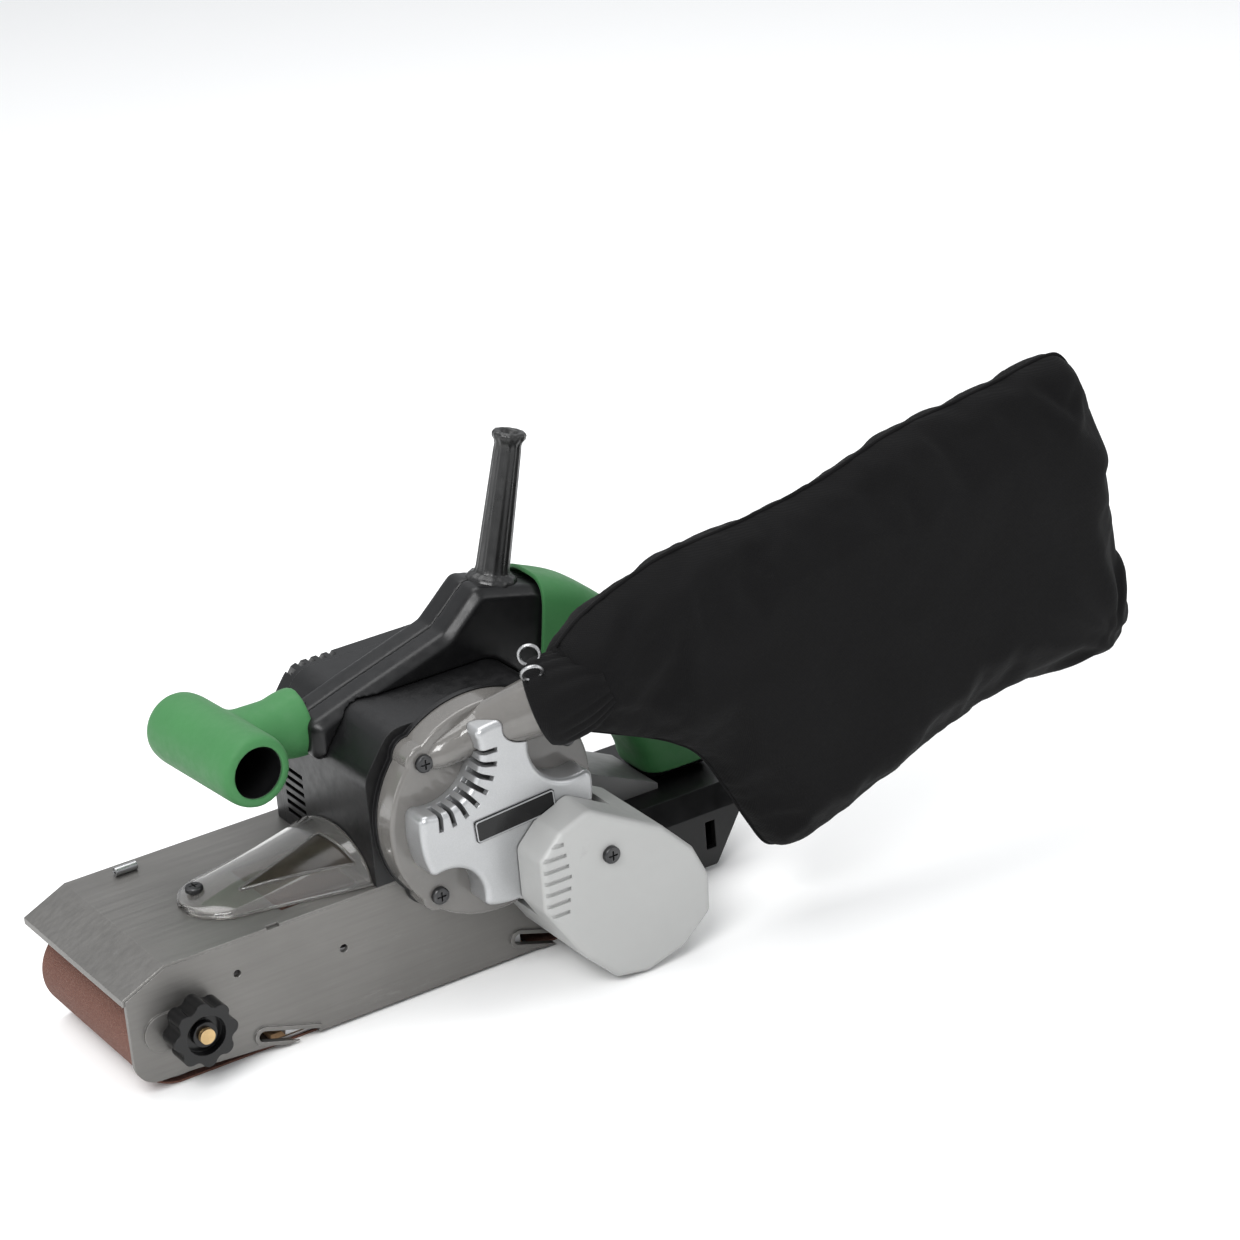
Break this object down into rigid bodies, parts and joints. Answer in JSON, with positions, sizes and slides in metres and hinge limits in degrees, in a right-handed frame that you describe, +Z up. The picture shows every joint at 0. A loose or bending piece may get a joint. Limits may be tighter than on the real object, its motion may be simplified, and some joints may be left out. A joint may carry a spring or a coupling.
{
  "type": "belt sander",
  "caption": "Handheld belt sander with tracking knob, geared motor drive, D-handle with trigger, front grip and cloth dust bag",
  "frame": {"origin": "centre of the sole on the working plane, midway between the two rollers and across the belt", "axes": "+X to the rear handle along the belt, -Y to the drive side with the covers and tracking knob, +Z up"},
  "size_m": [0.5803, 0.174, 0.2595],
  "materials": {
    "grey_steel": "satin",
    "bright_steel": "satin",
    "cast_aluminium": "satin",
    "cork": "matte",
    "abrasive": "matte",
    "black_rubber": "matte",
    "black_plastic": "matte",
    "brass": "satin",
    "silver_casting": "satin",
    "light_grey_plastic": "satin",
    "smoke_plastic": "gloss",
    "grey_plastic": "matte",
    "core_steel": "matte",
    "copper": "satin",
    "carbon": "matte",
    "green_rubber": "matte",
    "black_fabric": "matte"
  },
  "bodies": {
    "machine": {"side_frame": "grey_steel", "belt_guard": "grey_steel", "guard_pin": "bright_steel", "platen_beam": "cast_aluminium", "cork_pad": "cork", "platen_plate": "bright_steel", "abrasive_belt": "abrasive", "tension_spring": "bright_steel", "bearing_tube": "cast_aluminium", "drive_bearings": "bright_steel", "timing_belt": "black_rubber", "gear_cover": "silver_casting", "gear_plate": "silver_casting", "badge_plate": "black_plastic", "belt_cover": "light_grey_plastic", "fan_cover": "smoke_plastic", "stator_core": "core_steel", "field_coils": "copper", "brush_holders": "brass", "carbon_brushes": "carbon", "motor_bearings": "bright_steel", "motor_housing": "black_plastic", "motor_end_cover": "black_plastic", "rear_grip": "green_rubber", "rear_foot": "black_plastic", "rear_bridge": "grey_plastic", "trigger_spring": "bright_steel", "switch_body": "black_plastic", "cord_guard": "black_rubber", "front_grip_core": "black_plastic", "front_grip_cover": "green_rubber", "dust_window": "smoke_plastic", "cover_screws": "bright_steel", "handle_shell_near": "black_plastic", "handle_shell_far": "black_plastic"},
    "drive": {"drive_shaft": "bright_steel", "drive_roller_core": "bright_steel", "drive_roller_sleeve": "black_rubber", "lower_pulley": "cast_aluminium"},
    "carriage": {"tension_carriage": "bright_steel"},
    "yoke": {"idler_yoke": "bright_steel", "idler_shaft": "bright_steel"},
    "idler": {"idler_roller": "cast_aluminium", "idler_bearings": "bright_steel"},
    "lever": {"tension_lever": "bright_steel"},
    "knob_washer": {"tracking_washer": "black_rubber"},
    "knob": {"tracking_knob": "black_plastic", "tracking_screw": "brass"},
    "gear": {"gear_spindle": "bright_steel", "reduction_gear": "bright_steel"},
    "armature": {"armature_shaft": "bright_steel", "armature_core": "core_steel", "armature_windings": "copper", "commutator": "copper", "pinion": "bright_steel", "dust_fan": "grey_plastic"},
    "trigger": {"trigger": "black_plastic"},
    "lock": {"lock_button": "black_plastic"},
    "bag": {"dust_bag": "black_fabric", "bag_clip": "bright_steel"}
  },
  "joints": [
    {"name": "drive_spin", "type": "hinge", "parent": "machine", "child": "drive", "pos_m": [0.11354, 0, 0.0253], "axis": [0, 1, 0], "continuous": true},
    {"name": "idler_spin", "type": "hinge", "parent": "yoke", "child": "idler", "pos_m": [-0.11354, 0, 0.0253], "axis": [0, 1, 0], "continuous": true},
    {"name": "gear_spin", "type": "hinge", "parent": "machine", "child": "gear", "pos_m": [0.07653, -0.085, 0.07625], "axis": [0, 1, 0], "continuous": true},
    {"name": "armature_spin", "type": "hinge", "parent": "machine", "child": "armature", "pos_m": [0.06, 0, 0.099], "axis": [0, 1, 0], "continuous": true},
    {"name": "lever_swing", "type": "hinge", "parent": "machine", "child": "lever", "pos_m": [-0.03004, 0.024, 0.0253], "axis": [0, 0, 1], "range_deg": [0, 60], "deforming": ["abrasive_belt", "tension_spring"]},
    {"name": "tension_slide", "type": "slide", "parent": "machine", "child": "carriage", "axis": [1, 0, 0], "range_m": [0, 0.006], "deforming": ["abrasive_belt", "tension_spring"]},
    {"name": "idler_yaw", "type": "hinge", "parent": "carriage", "child": "yoke", "pos_m": [-0.07604, 0, 0.0253], "axis": [0, 0, 1], "range_deg": [-1.12, 1.12], "deforming": ["abrasive_belt"]},
    {"name": "knob_advance", "type": "slide", "parent": "machine", "child": "knob_washer", "axis": [0, 1, 0], "range_m": [-0.00062, 0.00062], "deforming": ["abrasive_belt"]},
    {"name": "tracking_turn", "type": "hinge", "parent": "knob_washer", "child": "knob", "pos_m": [-0.10854, -0.06, 0.0333], "axis": [0, 1, 0], "range_deg": [-180, 180], "deforming": ["abrasive_belt"]},
    {"name": "trigger_press", "type": "slide", "parent": "machine", "child": "trigger", "axis": [0.735, 0, 0.678], "range_m": [0, 0.005], "stiffness_N_per_m": 900, "springref_m": -0.002, "deforming": ["trigger_spring"]},
    {"name": "lock_press", "type": "slide", "parent": "machine", "child": "lock", "axis": [0, 1, 0], "range_m": [0, 0.003], "stiffness_N_per_m": 600, "springref_m": -0.001},
    {"name": "bag_pull", "type": "slide", "parent": "machine", "child": "bag", "axis": [0.8076, -0.4999, 0.3128], "range_m": [0, 0.06]}
  ],
  "couplings": [
    {"joint": "idler_spin", "follows": "drive_spin", "ratio": 1},
    {"joint": "gear_spin", "follows": "drive_spin", "ratio": 2.1333},
    {"joint": "armature_spin", "follows": "drive_spin", "ratio": -7.4667},
    {"joint": "tension_slide", "follows": "lever_swing", "m_per_rad": 0.0057296},
    {"joint": "tracking_turn", "follows": "knob_advance", "rad_per_m": 5026.5},
    {"joint": "idler_yaw", "follows": "knob_advance", "rad_per_m": -30.769}
  ]
}
